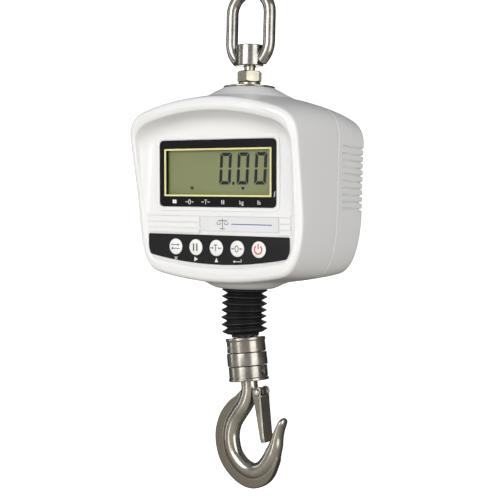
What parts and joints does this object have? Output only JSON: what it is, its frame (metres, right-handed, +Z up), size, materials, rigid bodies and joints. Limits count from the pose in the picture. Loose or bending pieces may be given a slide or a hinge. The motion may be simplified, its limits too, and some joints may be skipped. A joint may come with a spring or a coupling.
{
  "type": "crane scale",
  "caption": "Hanging crane scale with a swivel ring, a white display housing, a rubber bellows and a swivelling safety hook with a sprung latch.",
  "frame": {"origin": "the point the scale hangs from, on the inside of the ring's top bend, on the load line", "axes": "+Z up along the load line, the display faces -Y, +X to the viewer's right"},
  "size_m": [0.1598, 0.1412, 0.4093],
  "materials": {
    "polished_steel": "bright polished forging, warm nickel tone",
    "plated_steel": "yellowish zinc-nickel plate",
    "plain_steel": "machined",
    "cell_aluminium": "milled",
    "white_plastic": "glossy moulded",
    "black_window": "satin printed film",
    "cream_plastic": "matt moulded",
    "lcd_green": "reflective liquid crystal",
    "charcoal_film": "fine matt film",
    "white_key": "satin moulded, printed mark",
    "black_rubber": "moulded, slight sheen",
    "green_board": "solder mask",
    "battery_sleeve": "shrink sleeve"
  },
  "bodies": {
    "ring": {"swivel_ring": "polished_steel"},
    "scale": {"swivel_bolt": "plated_steel", "lock_nut": "plated_steel", "lock_washer": "plated_steel", "top_washer": "plated_steel", "top_seal": "black_rubber", "clamp_nut": "plain_steel", "front_housing": "white_plastic", "rear_housing": "white_plastic", "housing_gasket": "black_rubber", "display_window": "black_window", "lcd_frame": "cream_plastic", "lcd_glass": "lcd_green", "lcd_backlight": "white_plastic", "main_board": "green_board", "name_plate": "white_plastic", "keypad_panel": "charcoal_film", "key_board": "green_board", "load_cell": "cell_aluminium", "lower_stud": "plain_steel", "tilt_pin": "plain_steel", "bellows": "black_rubber", "battery_pack": "battery_sleeve", "battery_door": "white_plastic", "door_screw_1": "plain_steel", "door_screw_2": "plain_steel", "housing_screw_1": "plain_steel", "housing_screw_2": "plain_steel", "housing_screw_3": "plain_steel", "housing_screw_4": "plain_steel", "charge_socket": "charcoal_film"},
    "unit_button": {"unit_key": "white_key"},
    "hold_button": {"hold_key": "white_key"},
    "tare_button": {"tare_key": "white_key"},
    "zero_button": {"zero_key": "white_key"},
    "power_button": {"power_key": "white_key"},
    "swivel": {"swivel_stem": "plain_steel", "swivel_cap_upper": "polished_steel", "swivel_sleeve": "polished_steel", "swivel_cap_lower": "polished_steel", "grub_screw_upper": "plain_steel", "grub_screw_lower": "plain_steel", "bearing_race_lower": "plain_steel", "bearing_cage": "plain_steel"},
    "hook": {"bearing_race_upper": "plain_steel", "shank_nut": "plain_steel", "shank_pin": "plain_steel", "hook": "polished_steel", "latch_pin": "plain_steel"},
    "latch": {"latch": "polished_steel", "latch_spring": "plain_steel"}
  },
  "joints": [
    {"name": "ring_swivel", "type": "hinge", "parent": "ring", "child": "scale", "pos_m": [0, 0, -0.0485], "axis": [0, 0, 1], "continuous": true},
    {"name": "unit_press", "type": "slide", "parent": "scale", "child": "unit_button", "axis": [0, 0.9992, 0.0396], "range_m": [0, 0.0007], "stiffness_N_per_m": 900, "springref_m": -0.0006},
    {"name": "hold_press", "type": "slide", "parent": "scale", "child": "hold_button", "axis": [0, 0.9992, 0.0396], "range_m": [0, 0.0007], "stiffness_N_per_m": 900, "springref_m": -0.0006},
    {"name": "tare_press", "type": "slide", "parent": "scale", "child": "tare_button", "axis": [0, 0.9992, 0.0396], "range_m": [0, 0.0007], "stiffness_N_per_m": 900, "springref_m": -0.0006},
    {"name": "zero_press", "type": "slide", "parent": "scale", "child": "zero_button", "axis": [0, 0.9992, 0.0396], "range_m": [0, 0.0007], "stiffness_N_per_m": 900, "springref_m": -0.0006},
    {"name": "power_press", "type": "slide", "parent": "scale", "child": "power_button", "axis": [0, 0.9992, 0.0396], "range_m": [0, 0.0007], "stiffness_N_per_m": 900, "springref_m": -0.0006},
    {"name": "hook_tilt", "type": "hinge", "parent": "scale", "child": "swivel", "pos_m": [0, 0, -0.2635], "axis": [0, 1, 0], "range_deg": [-4.7, 19.3], "stiffness_Nm_per_rad": 0.3, "springref_deg": -4.01, "deforming": ["bellows"]},
    {"name": "hook_swivel", "type": "hinge", "parent": "swivel", "child": "hook", "pos_m": [0.00381, 0, -0.29326], "axis": [-0.1271, 0, 0.9919], "continuous": true},
    {"name": "latch_pivot", "type": "hinge", "parent": "hook", "child": "latch", "pos_m": [0.01832, 0, -0.31993], "axis": [0, 1, 0], "range_deg": [0, 38], "stiffness_Nm_per_rad": 0.02, "springref_deg": -34.38}
  ]
}
